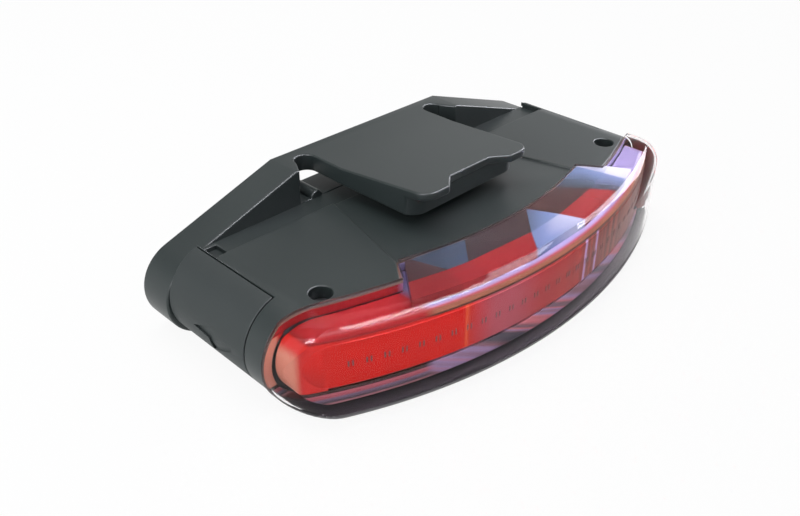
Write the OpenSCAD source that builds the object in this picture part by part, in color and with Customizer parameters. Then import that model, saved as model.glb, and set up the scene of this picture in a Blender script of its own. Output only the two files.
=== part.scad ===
// Bicycle rear light: a rounded housing with an arched rear frame, a spring latch
// tongue over a bracket slot, and a curved clear lens. Millimetres. +X runs to the
// right-hand end, -Y is the way the lens faces, +Z is up.

/* [Overall] */
// Overall length, end to end
overall_l = 84; // [82:1:92]
// Overall depth, front of the lens to the back face
overall_d = 44; // [43:0.5:47]
// Height of the top plate above the base
body_h = 14.8; // [14.4:0.1:16]

/* [Housing] */
// Thickness of the floor and of the roof over the valley
wall = 1.6; // [1.4:0.1:1.8]
// Thickness of the two round ends
end_wall = 2.4; // [2.2:0.1:2.6]
// How far the frame and the lens stand proud of the housing ends
end_step = 0.4; // [0.4:0.1:0.7]
// Depth of the rear frame
frame_d = 6.3; // [6:0.1:7]
// Radius of the frame's round ends
frame_end_r = 6.5; // [6.2:0.1:7]
// Width of the flat on top of the arch
arch_w = 36; // [35:0.5:40]
// Width of the valley between the arch and the top plate
valley_w = 4.7; // [4:0.1:5.5]
// Depth of the valley below the top plate
valley_d = 1.1; // [0.8:0.1:1.3]
// Depth of the sunken panel under the tongue
panel_d = 0.3; // [0.2:0.05:0.5]
// Clearance between pieces that move or plug together
fit = 0.15; // [0.1:0.01:0.2]

/* [Latch tongue] */
// Width of the tongue at its root
tongue_w = 25; // [23:0.5:26]
// Thickness of the tongue at its root
tongue_t = 2.8; // [2.4:0.1:3.2]
// Distance from the back face to the tip of the tongue
tongue_reach = 27; // [25:0.2:28]
// Height of the bracket slot, from the top plate to the tongue
slot_h = 1.7; // [1.5:0.1:2.2]
// How far the tip curls up above the arch
tip_rise = 1.4; // [0.8:0.1:2]
// Thickness of the finger lip at the tip
lip_t = 1.3; // [1:0.1:1.6]
// Overhang of the finger lip beyond the foot
lip_over = 2.6; // [2:0.1:3.2]
// Width of the notch in the lip, at its mouth
notch_w = 16.2; // [14:0.2:17]
// Width of the relief slots beside the root
relief_w = 3.4; // [2.8:0.1:3.6]

/* [Lens] */
// Radius of the lens front, seen from above
lens_r = 82; // [78:1:95]
// Thickness of the lens
lens_t = 1.8; // [1.4:0.1:2]
// How far the lens stands above the top plate
lens_rise = 0.8; // [0.5:0.1:1]
// Rounding of the lens along its upper front edge
lens_top_r = 3.8; // [3:0.1:4.5]
// Rounding of the lens along its lower front edge
lens_base_r = 2.6; // [2.2:0.1:3]
// Rounding of the lens corners, seen from above
lens_corner_r = 6; // [5:0.5:7]
// Depth of the lens at its two ends
lens_end_d = 16.6; // [16:0.1:17.4]
// Depth of the lens at its middle
lens_mid_d = 11.6; // [11:0.1:13]
// Thickness of the seal behind the lens
seal_t = 0.5; // [0.4:0.05:0.7]
// Width of the top window at the back of the lens
window_w = 40; // [36:1:42]

/* [Light unit] */
// Number of light chips
led_count = 18; // [10:1:21]
// Distance between light chips
led_pitch = 2.45; // [2.2:0.05:2.5]
// Height of the red light bar
bar_h = 6.2; // [5.6:0.1:6.4]
// Depth of the red light bar
bar_d = 3.8; // [3:0.1:4.2]
// Gap from each end of the light to the end of the red light bar
bar_end = 6.5; // [6:0.5:8]
// Gap from each end of the light bar to the end of the strip that carries the chips
strip_end = 6; // [5.5:0.5:6.5]

/* [Electronics] */
// Length of the battery cell
cell_l = 45; // [38:1:46]
// Width of the battery cell
cell_w = 16; // [12:0.5:16.5]
// Thickness of the battery cell
cell_h = 5; // [4:0.1:5.4]
// Gap from each end of the housing's inside to the end of the main board
board_end = 5.1; // [4.6:0.1:6]
// Gap between the main board and the bosses of the lens carrier's screws
board_gap = 1.1; // [0.8:0.1:1.6]
// Thickness of the boards
board_t = 1; // [0.8:0.1:1.2]

/* [Ends] */
// Width of the housing band between the lens and the port cover
band_w = 3.8; // [3.4:0.1:4.4]
// Thickness of the rubber cover and boot
cover_t = 1.2; // [1:0.05:1.3]
// Length of the power button along the end
button_l = 7; // [6:0.1:8]
// Height of the power button
button_h = 4.4; // [3.8:0.1:4.6]
// Travel of the power button
button_travel = 0.6; // [0.4:0.05:0.7]

/* [Screws] */
// Diameter of the lens carrier's screw wells
well_dia = 3.2; // [2.8:0.1:3.6]
// Distance from each end of the light to the middle of a screw well
well_end = 10.4; // [9.4:0.2:11]
// Thread diameter of the screws
screw_dia = 1.7; // [1.5:0.1:2]

/* [Hidden] */
$fn = 64;

plastic = [0.27, 0.30, 0.30];
rubber = [0.22, 0.25, 0.25];
clear = [0.93, 0.80, 0.80, 0.45];
red = [0.85, 0.10, 0.08];
steel = [0.72, 0.73, 0.74];
board_green = [0.08, 0.28, 0.18];

eps = 0.01;
slack = 0.05;
far = 200;
tall = 40;
half_l = overall_l / 2;
back_y = overall_d / 2;
front_y = -overall_d / 2;

// Outer housing sleeve and the space inside it
sleeve_l = half_l - end_step;
sleeve_r = body_h / 2;
frame_y = back_y - frame_d;
valley_z = body_h - valley_d;
cavity_top = valley_z - wall;
cavity_r = (cavity_top - wall) / 2;
cavity_z = wall + cavity_r;
cavity_l = sleeve_l - end_wall;
cavity_back = back_y - wall;

// The rim of the rear frame that plugs into the housing, and the seal around it
spigot_l = 1.5;
spigot_t = 1;
ring = 0.5;

// Arch and tongue heights
slot_top = body_h + slot_h;
arch_z = slot_top + tongue_t;
valley_y = frame_y - valley_w;

// Lens: its front arc and the joint line where it meets the housing
arc_y = front_y + lens_r;
lens_h = body_h + lens_rise;
joint_end_y = front_y + lens_end_d;
joint_side_r = 95;
joint_side_in = 3.4;
joint_side_x = half_l - joint_side_in;
joint_side_y = joint_end_y + sqrt(joint_side_r * joint_side_r - joint_side_x * joint_side_x);
joint_top_r = 66;
joint_top_y = front_y + lens_mid_d + joint_top_r;
window_taper = 0.72;
window_y = joint_top_y - sqrt(joint_top_r * joint_top_r - window_w * window_w / 4);

// Light unit, in rings about the lens front's own centre
bar_gap = 1;
bar_front_r = lens_r - lens_t - bar_gap;
bar_back_r = bar_front_r - bar_d;
led_t = 0.6;
strip_front_r = bar_back_r - led_t - fit;
strip_back_r = strip_front_r - board_t;
carrier_t = 1.6;
carrier_back_r = strip_back_r - carrier_t;
light_rise = 1.1;
light_z = cavity_z + light_rise;
shelf_t = 0.5;
shelf_low = light_z - bar_h / 2 - fit - shelf_t;
shelf_high = light_z + bar_h / 2 + fit;
bar_x = half_l - bar_end;
bar_angle = asin(bar_x / bar_front_r);
liner_gap = 0.3;
liner_t = 0.8;
liner_in = lens_t + liner_gap;
strip_angle = asin((bar_x - strip_end) / strip_front_r);

// Screws of the lens carrier
well_x = half_l - well_end;
well_y = joint_end_y - fit;
seat_t = 1.2;
ear_top = shelf_high - 3 * fit;
seat_z = ear_top + seat_t;
ear_h = 4;
ear_wall = 1.3;
ear_dia = screw_dia + 2 * ear_wall;
head_dia = well_dia - 2 * fit;
head_h = 1;
boss_wall = 1.2;
boss_dia = well_dia + 2 * boss_wall;
screw_spare = 0.5;

// Battery, which lies over the rim of the rear frame
pad_t = spigot_t + 2 * fit;
cell_z = wall + pad_t;
cell_gap = 1.8;
cell_back = cavity_back - cell_gap;
lead_dia = 1.2;
lead_bend = 1.6;
lead_stub = 0.4;
lead_out = lead_bend + lead_stub;
lead_in = 3;
lead_gap = 3;

// Main board and what hangs on it
board_rise = 2.15;
board_z = cavity_z + board_rise;
board_back = frame_y - spigot_l + fit;
board_front = well_y + boss_dia / 2 + board_gap;
board_d = board_back - board_front;
board_l = 2 * (cavity_l - board_end);
post_in = 0.4;
post_dia = 3.6;
board_screw_l = 4;
post_x = cell_l / 2 + lead_out + lead_dia / 2 + fit + post_dia / 2;
post_y = board_front + post_in + post_dia / 2;

// Round ends: the rubber cover, the boot and what lies behind them
end_x = sleeve_l - sleeve_r;
end_z = sleeve_r;
cover_r = sleeve_r - cover_t;
cover_back = frame_y - fit;
cover_front = joint_end_y + band_w;
cover_mid = (cover_back + cover_front) / 2;
cover_top_a = 106.5;
cover_base_a = 252;
bead_r = 0.6;
bead_path_r = cover_r + bead_r - slack;
bead_x = -end_x + bead_path_r * cos(cover_base_a);
bead_z = end_z + bead_path_r * sin(cover_base_a);
hinge_relief_a = 14;
bead_back = frame_y - ring - 2 * fit;
bead_front = cover_front + fit;

// Charging socket
socket_w = 7.6;
socket_h = 2.6;
socket_d = 5.6;
socket_skin = 0.3;
socket_x = -(cavity_l - fit);
socket_z = board_z - socket_h / 2;
port_w = 9.2;
port_h = 4.2;
plug_side = 0.5;
plug_edge = 0.75;
plug_w = port_w - 2 * plug_side;
plug_h = port_h - 2 * plug_edge;
plug_d = 0.7;
plug_root = 0.5;

// Power switch
switch_d = 3.6;
switch_w = 5;
switch_h = 2 * board_rise;
switch_z = cavity_z;
switch_back = 0.6;
plunger_dia = 1.6;
plunger_out = 1;
flange_t = 0.8;
flange_w = 0.8;
flange_half = button_h / 2 + flange_w;
flange_x = cavity_l - cavity_r + sqrt(cavity_r * cavity_r - flange_half * flange_half);
button_in = flange_x - fit - flange_t;
switch_x = button_in - plunger_out;

// Frame screws
frame_boss_r = 2.3;
frame_screw_x = cavity_l - cavity_r - frame_boss_r;
frame_boss_lift = 0.5;
frame_screw_z = wall + frame_boss_lift + frame_boss_r;
frame_boss_y = frame_y - spigot_l;
frame_boss_gap = 0.7;
frame_boss_l = frame_boss_y - cover_mid - switch_w / 2 - frame_boss_gap;
frame_screw_l = back_y - head_h - fit - frame_boss_y + frame_boss_l - screw_spare;

// A bar with round ends in the X-Z plane, from y0 to y1
module stadium(l, r, zc, y0, y1) {
    translate([0, y1, 0])
        rotate([90, 0, 0])
            linear_extrude(y1 - y0)
                union() {
                    translate([-(l - r), zc - r]) square([2 * (l - r), 2 * r]);
                    for (s = [-1, 1])
                        translate([s * (l - r), zc]) circle(r);
                }
}

// The space inside the housing, grown outwards by g
module cavity(g, y0, y1) {
    stadium(cavity_l + g, cavity_r + g, cavity_z, y0, y1);
}

// Everything behind the joint line of the lens, moved forward by o
module behind_joint(o) {
    translate([0, -o, -1])
        difference() {
            union() {
                translate([0, joint_side_y, 0]) cylinder(r = joint_side_r, h = tall, $fn = 128);
                translate([-far / 2, joint_end_y, 0]) cube([far, far, tall]);
            }
            difference() {
                window_prism();
                translate([0, joint_top_y, -1])
                    cylinder(r = joint_top_r, h = tall + 2, $fn = 128);
            }
        }
}

// The outline of the top window, which widens towards the front
module window_prism() {
    reach = 12;
    wide = window_w / 2 + window_taper * reach;
    translate([0, window_y, -0.5])
        linear_extrude(tall + 1)
            polygon([[-window_w / 2, 0], [window_w / 2, 0], [wide, -reach], [-wide, -reach]]);
}

// The lens block, shrunk inwards by o: side view, plan and front section together
module lens_form(o) {
    intersection() {
        stadium(half_l - o, lens_h / 2 - o, lens_h / 2, front_y - 1, frame_y);
        lens_plan(o);
        translate([0, arc_y, 0])
            rotate_extrude($fn = 256)
                lens_section(o);
    }
}

// Plan of the lens: the front arc with a round corner at each end
module lens_plan(o) {
    side_x = half_l + slack;
    corner_x = side_x - lens_corner_r;
    reach = lens_r - lens_corner_r;
    corner_y = arc_y - sqrt(reach * reach - corner_x * corner_x);
    turn = asin(corner_x / reach);
    translate([0, 0, -1])
        linear_extrude(lens_h + 2)
            union() {
                intersection() {
                    translate([0, arc_y]) circle(lens_r + 1, $fn = 256);
                    polygon([[0, arc_y], [far * sin(-turn), arc_y - far * cos(turn)],
                        [far * sin(turn), arc_y - far * cos(turn)]]);
                }
                for (s = [-1, 1])
                    translate([s * corner_x, corner_y]) circle(lens_corner_r - o);
                translate([-(side_x - o), corner_y])
                    square([2 * (side_x - o), frame_y + 1 - corner_y]);
            }
}

// Section of the lens, with its two rounded front edges
module lens_section(o) {
    back = lens_r / 2;
    tip = lens_r - o;
    base = o - slack;
    top = lens_h - o + slack;
    high_r = lens_top_r - o;
    low_r = lens_base_r - o;
    polygon(concat([[back, top], [back, base]], arc(tip - low_r, base + low_r, low_r, -90, 0),
        arc(tip - high_r, top - high_r, high_r, 0, 90)));
}

// Points along an arc from angle a0 to angle a1
function arc(x, y, r, a0, a1, steps = 10) =
    [for (i = [0:steps]) let (a = a0 + (a1 - a0) * i / steps) [x + r * cos(a), y + r * sin(a)]];

// The angle that a length takes up on a circle
function arc_turn(l, r) = l / r * 180 / PI;

// A ring sector about the centre of the lens front
module sector(r0, r1, z0, z1, half_a) {
    translate([0, arc_y, z0])
        rotate([0, 0, -90 - half_a])
            rotate_extrude(angle = 2 * half_a, $fn = 256)
                translate([r0, 0]) square([r1 - r0, z1 - z0]);
}

// The outline of the rear frame: round ends, sloping shoulders and a flat top
module frame_outline() {
    cx = half_l - frame_end_r;
    dx = cx - arch_w / 2;
    dz = arch_z - frame_end_r;
    lean = atan2(dz, dx) - asin(frame_end_r / sqrt(dx * dx + dz * dz));
    touch_x = cx + frame_end_r * sin(lean);
    touch_z = frame_end_r + frame_end_r * cos(lean);
    union() {
        polygon([[-cx, 0], [cx, 0], [cx, frame_end_r], [touch_x, touch_z], [arch_w / 2, arch_z],
            [-arch_w / 2, arch_z], [-touch_x, touch_z], [-cx, frame_end_r]]);
        for (s = [-1, 1])
            translate([s * cx, frame_end_r]) circle(frame_end_r);
    }
}

// Bridge of the arch, the relief slots in it and the rails under it
bridge_d = 2.2;
relief_flare = 1.4;
relief_x = tongue_w / 2 + relief_w / 2;
relief_y = back_y - bridge_d - relief_w / 2;
root_y = relief_y;
wall_end_x = relief_x + relief_w / 2 + relief_flare;
rail_r = 1.1;

// Rear frame with the arch, the bracket slot under it and the back wall
module rear_frame() {
    color(plastic)
        difference() {
            union() {
                difference() {
                    translate([0, back_y, 0])
                        rotate([90, 0, 0]) linear_extrude(frame_d) frame_outline();
                    bracket_window();
                    relief_slots();
                    cavity(0, frame_y - 1, cavity_back);
                }
                spigot();
                for (s = [-1, 1])
                    translate([s * frame_screw_x, cavity_back + eps, frame_screw_z])
                        rotate([90, 0, 0])
                            cylinder(r = frame_boss_r, h = cavity_back - frame_boss_y + eps);
                guide_rails();
            }
            for (s = [-1, 1])
                translate([s * frame_screw_x, back_y + eps, frame_screw_z])
                    rotate([90, 0, 0]) {
                        cylinder(d = screw_dia + 2 * fit, h = frame_d + spigot_l + 1);
                        cylinder(d = head_dia + 2 * fit, h = head_h + fit + eps);
                    }
        }
}

// The window through the frame, under the bridge of the arch
module bracket_window() {
    translate([-wall_end_x, frame_y - 1, valley_z])
        cube([2 * wall_end_x, frame_d + 2, slot_top - valley_z]);
}

// The two relief slots beside the root, and the gap that the tongue fills
module relief_slots() {
    translate([0, 0, valley_z])
        linear_extrude(far) {
            for (s = [-1, 1]) {
                translate([s * relief_x, relief_y]) circle(d = relief_w);
                polygon([[s * (relief_x + relief_w / 2), relief_y], [0, relief_y],
                    [0, frame_y - 1], [s * wall_end_x, frame_y - 1], [s * wall_end_x, frame_y]]);
            }
        }
}

// The rim that plugs into the back of the housing
module spigot() {
    difference() {
        cavity(-fit, frame_y - spigot_l, frame_y + eps);
        cavity(-fit - spigot_t, frame_y - far / 2, frame_y + 1);
    }
}

// Round rails that carry the edges of the bracket at the level of the top plate
module guide_rails() {
    for (s = [-1, 1])
        translate([s * relief_x, back_y, body_h - rail_r])
            rotate([90, 0, 0]) cylinder(r = rail_r, h = frame_d);
}

// Places along the tongue: crease, foot and tip
foot_drop = 0.5;
foot_base = slot_top - foot_drop;
foot_r = 3.2;
foot_corner = 2.7;
crease_d = 3.7;
crease_y = frame_y - crease_d;
tip_y = back_y - tongue_reach;
foot_y = tip_y + lip_over;
tongue_taper = 0.9;
tip_half = tongue_w / 2 - tongue_taper;
tip_r = 2.55;
tip_z = arch_z + tip_rise;
notch_slope = 3.8;
notch_base = notch_w / 2 - notch_slope;
notch_step = 0.35;
notch_y = foot_y - notch_step;
notch_tip = notch_base + notch_slope * (notch_y - tip_y) / (notch_y - tip_y + 1);
lip_slope = tip_rise / (crease_y - tip_y);

// Spring tongue of the latch: root, rising blade, foot and notched finger lip
module latch_tongue() {
    color(plastic)
        difference() {
            intersection() {
                side_view([[root_y - fit, slot_top], [root_y - fit, arch_z], [crease_y, arch_z],
                    [tip_y, tip_z], [tip_y, foot_base], [foot_y, foot_base], [crease_y, slot_top]]);
                linear_extrude(far) lip_plan();
            }
            intersection() {
                side_view([[crease_y, 0], [crease_y, arch_z - lip_t],
                    [tip_y - 1, tip_z - lip_t + lip_slope], [tip_y - 1, 0]]);
                linear_extrude(far) undercut_plan();
            }
        }
}

// A side view drawn in Y and Z, as wide as the tongue
module side_view(points) {
    translate([-tongue_w / 2 - 1, 0, 0])
        rotate([90, 0, 90]) linear_extrude(tongue_w + 2) polygon(points);
}

// Points along an arc about a centre
function arc(x, y, r, start, stop, steps = 10) =
    [for (i = [0:steps])
        [x + r * cos(start + (stop - start) * i / steps), y + r * sin(start + (stop - start) * i / steps)]];

// Plan of the blade and its lip, with the notch at the tip
module lip_plan() {
    corner_x = tip_half - tip_r;
    polygon(concat(
        [[tongue_w / 2, root_y], [-tongue_w / 2, root_y], [-tongue_w / 2, crease_y]],
        arc(-corner_x, tip_y + tip_r, tip_r, 180, 270),
        [[-notch_tip, tip_y], [-notch_base, notch_y], [notch_base, notch_y], [notch_tip, tip_y]],
        arc(corner_x, tip_y + tip_r, tip_r, 270, 360),
        [[tongue_w / 2, crease_y]]));
}

// Plan of the space under the lip, in front of the foot and round its corners
module undercut_plan() {
    corner_x = tip_half - foot_corner;
    polygon(concat(
        [[-tongue_w, tip_y - 1], [tongue_w, tip_y - 1], [tongue_w, foot_y + foot_r]],
        arc(corner_x, foot_y + foot_r, foot_r, 360, 270),
        arc(-corner_x, foot_y + foot_r, foot_r, 270, 180),
        [[-tongue_w, foot_y + foot_r]]));
}

// Housing sleeve with the top plate, open at the front and the back
module main_housing() {
    color(plastic)
        difference() {
            union() {
                difference() {
                    intersection() {
                        stadium(sleeve_l, sleeve_r, sleeve_r, front_y, frame_y);
                        behind_joint(0);
                    }
                    cavity(0, front_y - 1, frame_y + 1);
                    cavity(ring, frame_y - ring, frame_y + 1);
                    valley();
                    sunken_panel();
                }
                intersection() {
                    screw_bosses();
                    behind_joint(0);
                }
                board_posts();
                frame_bosses();
            }
            screw_wells();
            cover_recess(-1);
            cover_recess(1);
            port_opening();
            button_opening();
        }
}

// Valley between the top plate and the arch, with a small nook at its left end
module valley() {
    nook_w = 2.6;
    nook_in = 0.6;
    nook_d = 0.7;
    cover_x = end_x - cover_r * cos(cover_top_a);
    translate([-cover_x, valley_y, valley_z])
        cube([2 * cover_x, valley_w + 1, far]);
    translate([-cover_x, frame_y - nook_w - nook_in, valley_z - nook_d])
        cube([nook_w, nook_w, far]);
}

// The shallow panel that widens from the tongue to the lens window
module sunken_panel() {
    margin = 1;
    inset = 0.3;
    half = tongue_w / 2 + margin;
    front_half = window_w / 2 - inset;
    translate([0, 0, body_h - panel_d])
        linear_extrude(far)
            polygon([[-half, frame_y + 1], [half, frame_y + 1], [front_half, window_y],
                [front_half, front_y - 1], [-front_half, front_y - 1], [-front_half, window_y]]);
}

// Bosses under the top plate for the carrier's screws
module screw_bosses() {
    for (s = [-1, 1])
        translate([s * well_x, well_y, ear_top])
            cylinder(d = boss_dia, h = valley_z - ear_top);
}

// Wells in the top plate for the heads of those screws
module screw_wells() {
    for (s = [-1, 1])
        translate([s * well_x, well_y, 0]) {
            translate([0, 0, ear_top - 1]) cylinder(d = screw_dia + 2 * fit, h = far);
            translate([0, 0, seat_z]) cylinder(d = well_dia, h = far);
        }
}

// Posts on the floor that carry the main board
module board_posts() {
    for (s = [-1, 1])
        translate([s * post_x, post_y, wall - eps])
            difference() {
                cylinder(d = post_dia, h = board_z - wall + eps);
                translate([0, 0, board_z - wall - board_screw_l - screw_spare])
                    cylinder(d = screw_dia, h = far);
            }
}

// Bosses on the floor that take the frame's screws
module frame_bosses() {
    for (s = [-1, 1])
        translate([s * frame_screw_x, frame_boss_y, 0])
            difference() {
                union() {
                    translate([0, 0, frame_screw_z])
                        rotate([90, 0, 0]) cylinder(r = frame_boss_r, h = frame_boss_l);
                    translate([-frame_boss_r / 2, -frame_boss_l, wall - eps])
                        cube([frame_boss_r, frame_boss_l, frame_screw_z - wall]);
                }
                translate([0, 1, frame_screw_z])
                    rotate([90, 0, 0]) cylinder(d = screw_dia, h = frame_boss_l + 2);
            }
}

// A slice of the round end between two angles, used for the cover, boot and recess
module end_shell(r0, r1, y0, y1, a0, a1) {
    translate([-end_x, y1, end_z])
        rotate([90, 0, 0])
            rotate([0, 0, a0])
                rotate_extrude(angle = a1 - a0)
                    translate([r0, 0]) square([r1 - r0, y1 - y0]);
}

// Recess in a round end: s = -1 for the port cover, s = 1 for the button boot
module cover_recess(s) {
    turn = s < 0 ? 0 : 1;
    mirror([turn, 0, 0]) {
        end_shell(cover_r, sleeve_r + 1, cover_front - fit, frame_y + 1, cover_top_a - 1,
            cover_base_a);
        end_shell(bead_path_r, sleeve_r + 1, cover_front - fit, frame_y + 1, cover_base_a - 1,
            cover_base_a + hinge_relief_a);
        translate([bead_x, bead_back + fit, bead_z])
            rotate([90, 0, 0])
                cylinder(r = bead_r + fit, h = bead_back - bead_front + 2 * fit);
    }
}

// Opening in the left-hand end for the charging plug
module port_opening() {
    translate([-half_l, cover_mid - port_w / 2, socket_z - port_h / 2])
        cube([half_l - cavity_l + end_wall, port_w, port_h]);
}

// Opening in the right-hand end for the power button
module button_opening() {
    gap = 2 * fit;
    translate([cavity_l - end_wall, cover_mid, switch_z])
        rotate([90, 0, 90]) linear_extrude(far) pill(button_l + 2 * gap, button_h + 2 * gap);
}

// A flat bar with round ends, lying along the first axis
module pill(l, h) {
    union() {
        translate([-(l - h) / 2, -h / 2]) square([l - h, h]);
        for (s = [-1, 1])
            translate([s * (l - h) / 2, 0]) circle(d = h);
    }
}

// Cord seal in the step at the back of the housing
module frame_seal() {
    color("dimgray")
        difference() {
            cavity(ring - slack, frame_y - ring + slack, frame_y);
            cavity(0, frame_y - far / 2, frame_y + 1);
        }
}

// Clear lens, a shell that is open towards the housing
module lens_cover() {
    color(clear)
        difference() {
            lens_form(0);
            lens_form(lens_t);
            behind_joint(seal_t);
        }
}

// Seal that lies between the lens and the housing
module lens_seal() {
    color("saddlebrown")
        difference() {
            intersection() {
                stadium(sleeve_l, sleeve_r, sleeve_r, front_y, frame_y);
                behind_joint(seal_t);
            }
            behind_joint(0);
            lens_form(lens_t);
            translate([-far / 2, joint_end_y + eps, -1]) cube([far, far, tall]);
        }
}

// Channel behind the lens that holds the light bar, the strip and the reflector
module lens_carrier() {
    color("maroon")
        difference() {
            union() {
                sector(carrier_back_r, strip_back_r, shelf_low, shelf_high + shelf_t, bar_angle);
                sector(carrier_back_r, bar_front_r, shelf_low, shelf_low + shelf_t, bar_angle);
                sector(carrier_back_r, bar_front_r, shelf_high, shelf_high + shelf_t, bar_angle);
                carrier_liner();
                for (s = [-1, 1])
                    translate([s * well_x, well_y, ear_top - ear_h])
                        cylinder(d = ear_dia, h = ear_h);
            }
            for (s = [-1, 1])
                translate([s * well_x, well_y, 0]) {
                    translate([0, 0, ear_top]) cylinder(d = boss_dia + 4 * fit, h = far);
                    cylinder(d = screw_dia, h = far);
                }
            ribbon_slot();
        }
}

// Red skin of the carrier that lines the lens, open in front of the bar and over the reflector
module carrier_liner() {
    difference() {
        lens_form(liner_in);
        lens_form(liner_in + liner_t);
        behind_joint(seal_t + fit);
        sector(bar_back_r, lens_r, light_z - bar_h / 2 - fit, light_z + bar_h / 2 + fit,
            bar_angle + arc_turn(fit, bar_front_r));
        sector(reflector_r0 - fit, reflector_r1 + fit, shelf_high + shelf_t, lens_h,
            reflector_angle + arc_turn(fit, reflector_r0));
    }
}

// Ribbon between the strip and the main board
ribbon_w = 6;
ribbon_t = 0.3;
ribbon_lap = 3;
ribbon_back = board_front + ribbon_lap;

// Slot in the back of the carrier that the ribbon passes through
module ribbon_slot() {
    translate([-ribbon_w / 2 - fit, arc_y - strip_back_r - fit, board_z - ribbon_t - fit])
        cube([ribbon_w + 2 * fit, 2 * carrier_t, ribbon_t + 2 * fit]);
}

// Red light bar in front of the chips
module light_bar() {
    nose = 1;
    color(red)
        translate([0, arc_y, light_z])
            rotate([0, 0, -90 - bar_angle])
                rotate_extrude(angle = 2 * bar_angle, $fn = 256)
                    union() {
                        translate([bar_back_r, -bar_h / 2]) square([bar_d - nose, bar_h]);
                        translate([bar_back_r, nose - bar_h / 2]) square([bar_d, bar_h - 2 * nose]);
                        for (s = [-1, 1])
                            translate([bar_front_r - nose, s * (bar_h / 2 - nose)]) circle(nose);
                    }
}

// Facets of the reflector
facet_count = 3;
facet_base = 0.5;
facet_inset = 1.6;
facet_gap = 0.4;
apex_share = 0.3;
reflector_r0 = lens_r - (joint_top_y - joint_top_r - front_y) + seal_t + lens_t;
reflector_r1 = bar_front_r - lens_top_r / 2;
reflector_angle = asin((window_w / 2 - facet_inset) / reflector_r0);

// Bright faceted reflector under the top window: a curved base with a row of pyramids
module reflector() {
    z0 = shelf_high + shelf_t;
    z1 = z0 + facet_base;
    z2 = lens_h - lens_t - facet_gap;
    step = 2 * reflector_angle / facet_count;
    color("silver")
        union() {
            sector(reflector_r0, reflector_r1, z0, z1, reflector_angle);
            for (i = [0:facet_count - 1])
                pyramid(reflector_r0, reflector_r1, z1 - eps, z2, i * step - reflector_angle, step);
        }
}

// One pyramid on the reflector, between two rays from the centre of the lens front
module pyramid(r0, r1, z0, z1, a, step) {
    inset = 0.1;
    corners = [for (q = [[r0, a], [r1, a], [r1, a + step], [r0, a + step]])
        ray_point(q[0] + (q[0] == r0 ? inset : -inset - r1 * (1 - cos(step / 2))), q[1])];
    apex = ray_point(r0 + apex_share * (r1 - r0), a + step / 2);
    polyhedron(
        points = concat([for (c = corners) [c[0], c[1], z0]], [[apex[0], apex[1], z1]]),
        faces = [[0, 1, 2, 3], [1, 0, 4], [2, 1, 4], [3, 2, 4], [0, 3, 4]]);
}

function ray_point(r, a) = [r * sin(a), arc_y - r * cos(a)];

// Strip board that follows the curve of the lens
module led_strip() {
    color("whitesmoke")
        sector(strip_back_r, strip_front_r, light_z - bar_h / 2, light_z + bar_h / 2, strip_angle);
}

// Row of light chips on the strip
module leds() {
    led_w = 1.6;
    led_h = 2;
    pitch_a = arc_turn(led_pitch, strip_front_r);
    color("khaki")
        for (i = [0:led_count - 1])
            translate([0, arc_y, light_z])
                rotate([0, 0, (i - (led_count - 1) / 2) * pitch_a])
                    translate([-led_w / 2, -strip_front_r - led_t, -led_h / 2])
                        cube([led_w, led_t, led_h]);
}

// Flat ribbon from the strip to the underside of the main board
module led_ribbon() {
    front = arc_y - sqrt(strip_back_r * strip_back_r - ribbon_w * ribbon_w / 4);
    color("goldenrod")
        translate([-ribbon_w / 2, front, board_z - ribbon_t])
            cube([ribbon_w, ribbon_back - front, ribbon_t]);
}

// Main circuit board
module main_board() {
    color(board_green)
        difference() {
            translate([-board_l / 2, board_front, board_z]) cube([board_l, board_d, board_t]);
            for (s = [-1, 1])
                translate([s * post_x, post_y, board_z - 1])
                    cylinder(d = screw_dia + 2 * fit, h = board_t + 2);
        }
}

// Driver chip, charger chip, coil and a row of capacitors on top of the main board
module board_chips() {
    driver = 5;
    charger = 4;
    coil_dia = 4;
    chip_t = 0.8;
    chip_x = 12;
    cap_w = 0.8;
    cap_d = 1.6;
    cap_t = 0.6;
    cap_count = 5;
    cap_pitch = 2 * cap_w;
    top = board_z + board_t;
    mid = board_front + board_d / 2;
    color([0.1, 0.1, 0.11]) {
        translate([-chip_x - driver / 2, mid - driver / 2, top]) cube([driver, driver, chip_t]);
        translate([chip_x / 2 - charger / 2, mid - charger / 2, top])
            cube([charger, charger, chip_t]);
        translate([chip_x + coil_dia / 2, mid, top]) cylinder(d = coil_dia, h = chip_t);
        for (i = [0:cap_count - 1])
            translate([(i - cap_count + 1) * cap_pitch, mid + driver, top])
                cube([cap_w, cap_d, cap_t]);
    }
}

// Steel shell of the charging socket, open at the end of the housing
module charge_socket() {
    color(steel)
        translate([socket_x, cover_mid, socket_z])
            rotate([90, 0, 90])
                difference() {
                    linear_extrude(socket_d) socket_outline(0);
                    translate([0, 0, -1])
                        linear_extrude(socket_d + 1 - socket_skin) socket_outline(socket_skin);
                }
}

// Socket mouth: a bar with its two lower corners cut off
module socket_outline(o) {
    w = socket_w / 2 - o;
    h = socket_h / 2 - o;
    cut = 0.8;
    polygon([[-w, h], [-w, cut - h], [cut - w, -h], [w - cut, -h], [w, cut - h], [w, h]]);
}

// Blade of the charging socket
blade_w = 4;
blade_t = 0.6;
blade_d = 4;

// Plastic blade inside the socket, fixed to its back wall
module socket_tongue() {
    color("black")
        translate([socket_x + socket_d - socket_skin - blade_d, cover_mid - blade_w / 2,
            socket_z - blade_t / 2])
            cube([blade_d, blade_w, blade_t]);
}

// Five spring contacts on the blade
module socket_contacts() {
    contact_w = 0.35;
    contact_t = 0.1;
    contact_l = 3;
    contact_in = 0.2;
    contact_pitch = 0.65;
    color("gold")
        for (i = [-2:2])
            translate([socket_x + socket_d - socket_skin - contact_l - contact_in,
                cover_mid + i * contact_pitch - contact_w / 2, socket_z + blade_t / 2])
                cube([contact_l, contact_w, contact_t]);
}

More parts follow.
